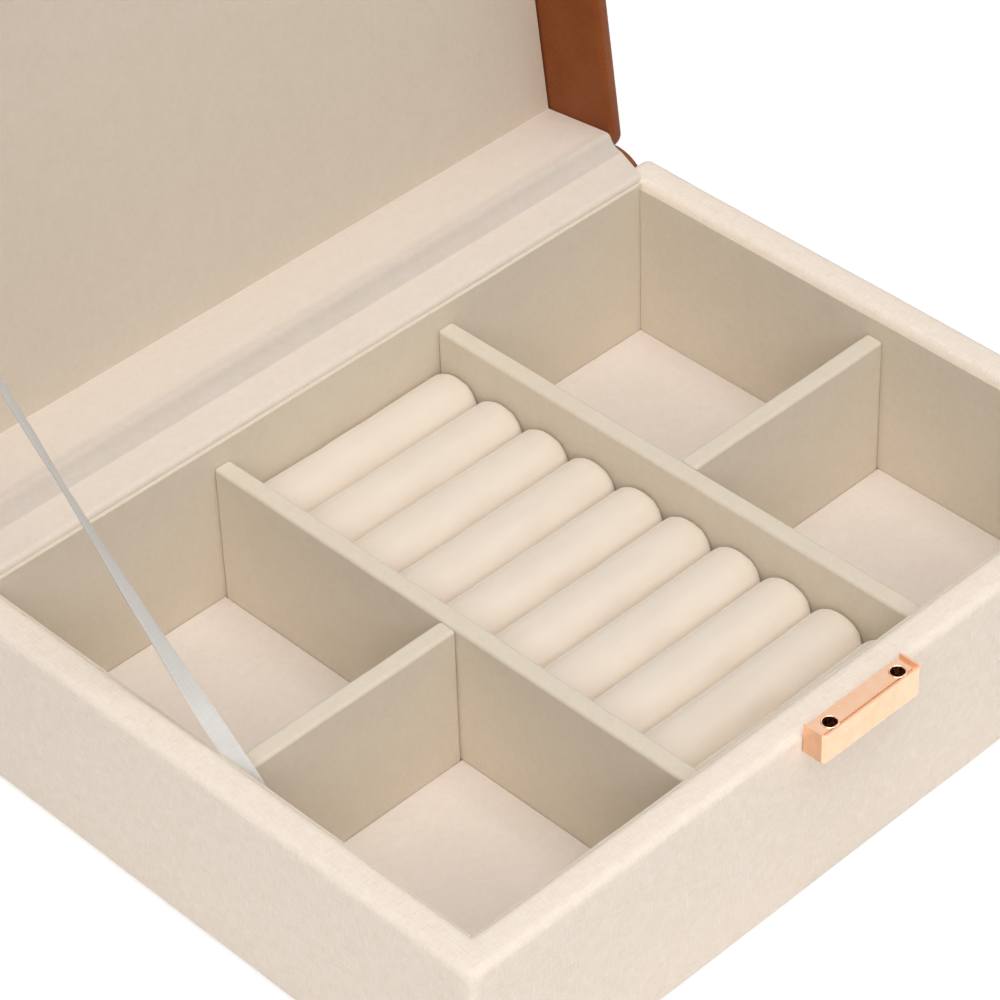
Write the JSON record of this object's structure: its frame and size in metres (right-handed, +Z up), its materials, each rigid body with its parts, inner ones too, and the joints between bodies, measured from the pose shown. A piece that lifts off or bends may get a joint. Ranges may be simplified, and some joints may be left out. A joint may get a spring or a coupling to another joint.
{
  "type": "jewellery box",
  "caption": "Hinged jewellery box with a linen covered base, a leather lid, suede lined compartments, a tray of velvet ring rolls, a stay ribbon and a pin clasp.",
  "frame": {"origin": "centre of the base's outer footprint, on the plane that the underside rests on", "axes": "+X to the right along the front, +Y from the clasp at the front to the hinge, +Z up"},
  "size_m": [0.2372, 0.242, 0.2344],
  "materials": {
    "back_lining": "card covered in beige suede",
    "back_wall_board": "grey board, covered",
    "bottom_board": "grey board, covered",
    "clasp_bar": "pale gold plated",
    "clasp_screw_left": "zinc plated",
    "clasp_screw_right": "zinc plated",
    "clasp_socket_left": "pale gold plated",
    "clasp_socket_right": "pale gold plated",
    "floor_pad_back_left": "card covered in beige suede",
    "floor_pad_back_right": "card covered in beige suede",
    "floor_pad_centre": "card covered in beige suede",
    "floor_pad_front_left": "card covered in beige suede",
    "floor_pad_front_right": "card covered in beige suede",
    "front_lining": "card covered in beige suede",
    "front_wall_board": "grey board, covered",
    "hinge_cover_base": "beige suede",
    "hinge_cover_fold": "beige suede",
    "hinge_cover_lid": "beige suede",
    "hinge_strip_base": "tan leather",
    "hinge_strip_fold": "tan leather",
    "hinge_strip_lid": "tan leather",
    "left_cross_divider": "board covered in beige suede",
    "left_lining": "card covered in beige suede",
    "left_long_divider": "board covered in beige suede",
    "left_wall_board": "grey board, covered",
    "lid_back_board": "grey board, covered",
    "lid_clasp_bar": "pale gold plated",
    "lid_clasp_pin_left": "pale gold plated",
    "lid_clasp_pin_right": "pale gold plated",
    "lid_clasp_screw_left": "zinc plated",
    "lid_clasp_screw_right": "zinc plated",
    "lid_front_board": "grey board, covered",
    "lid_leather_cover": "tan leather",
    "lid_left_board": "grey board, covered",
    "lid_lining_panel": "beige suede over card",
    "lid_right_board": "grey board, covered",
    "lid_top_board": "grey board, covered",
    "linen_wrap": "cream linen weave",
    "right_cross_divider": "board covered in beige suede",
    "right_lining": "card covered in beige suede",
    "right_long_divider": "board covered in beige suede",
    "right_wall_board": "grey board, covered",
    "ring_roll_01": "cream velvet over foam",
    "ring_roll_02": "cream velvet over foam",
    "ring_roll_03": "cream velvet over foam",
    "ring_roll_04": "cream velvet over foam",
    "ring_roll_05": "cream velvet over foam",
    "ring_roll_06": "cream velvet over foam",
    "ring_roll_07": "cream velvet over foam",
    "ring_roll_08": "cream velvet over foam",
    "ring_roll_09": "cream velvet over foam",
    "ring_roll_10": "cream velvet over foam",
    "stay_ribbon": "grey satin ribbon",
    "underside_cover": "matt lining paper"
  },
  "bodies": {
    "base": {"back_lining": "back_lining", "back_wall_board": "back_wall_board", "bottom_board": "bottom_board", "clasp_bar": "clasp_bar", "clasp_screw_left": "clasp_screw_left", "clasp_screw_right": "clasp_screw_right", "clasp_socket_left": "clasp_socket_left", "clasp_socket_right": "clasp_socket_right", "floor_pad_back_left": "floor_pad_back_left", "floor_pad_back_right": "floor_pad_back_right", "floor_pad_centre": "floor_pad_centre", "floor_pad_front_left": "floor_pad_front_left", "floor_pad_front_right": "floor_pad_front_right", "front_lining": "front_lining", "front_wall_board": "front_wall_board", "hinge_cover_base": "hinge_cover_base", "hinge_cover_fold": "hinge_cover_fold", "hinge_strip_base": "hinge_strip_base", "hinge_strip_fold": "hinge_strip_fold", "left_cross_divider": "left_cross_divider", "left_lining": "left_lining", "left_long_divider": "left_long_divider", "left_wall_board": "left_wall_board", "linen_wrap": "linen_wrap", "right_cross_divider": "right_cross_divider", "right_lining": "right_lining", "right_long_divider": "right_long_divider", "right_wall_board": "right_wall_board", "ring_roll_01": "ring_roll_01", "ring_roll_02": "ring_roll_02", "ring_roll_03": "ring_roll_03", "ring_roll_04": "ring_roll_04", "ring_roll_05": "ring_roll_05", "ring_roll_06": "ring_roll_06", "ring_roll_07": "ring_roll_07", "ring_roll_08": "ring_roll_08", "ring_roll_09": "ring_roll_09", "ring_roll_10": "ring_roll_10", "stay_ribbon": "stay_ribbon", "underside_cover": "underside_cover"},
    "lid": {"hinge_cover_lid": "hinge_cover_lid", "hinge_strip_lid": "hinge_strip_lid", "lid_back_board": "lid_back_board", "lid_clasp_bar": "lid_clasp_bar", "lid_clasp_pin_left": "lid_clasp_pin_left", "lid_clasp_pin_right": "lid_clasp_pin_right", "lid_clasp_screw_left": "lid_clasp_screw_left", "lid_clasp_screw_right": "lid_clasp_screw_right", "lid_front_board": "lid_front_board", "lid_leather_cover": "lid_leather_cover", "lid_left_board": "lid_left_board", "lid_lining_panel": "lid_lining_panel", "lid_right_board": "lid_right_board", "lid_top_board": "lid_top_board"}
  },
  "joints": [
    {"name": "lid_hinge", "type": "hinge", "parent": "base", "child": "lid", "pos_m": [0, 0.0923, 0.0494], "axis": [1, 0, 0], "range_deg": [0, 97.1], "deforming": ["hinge_strip_fold", "hinge_cover_fold", "stay_ribbon"]}
  ]
}
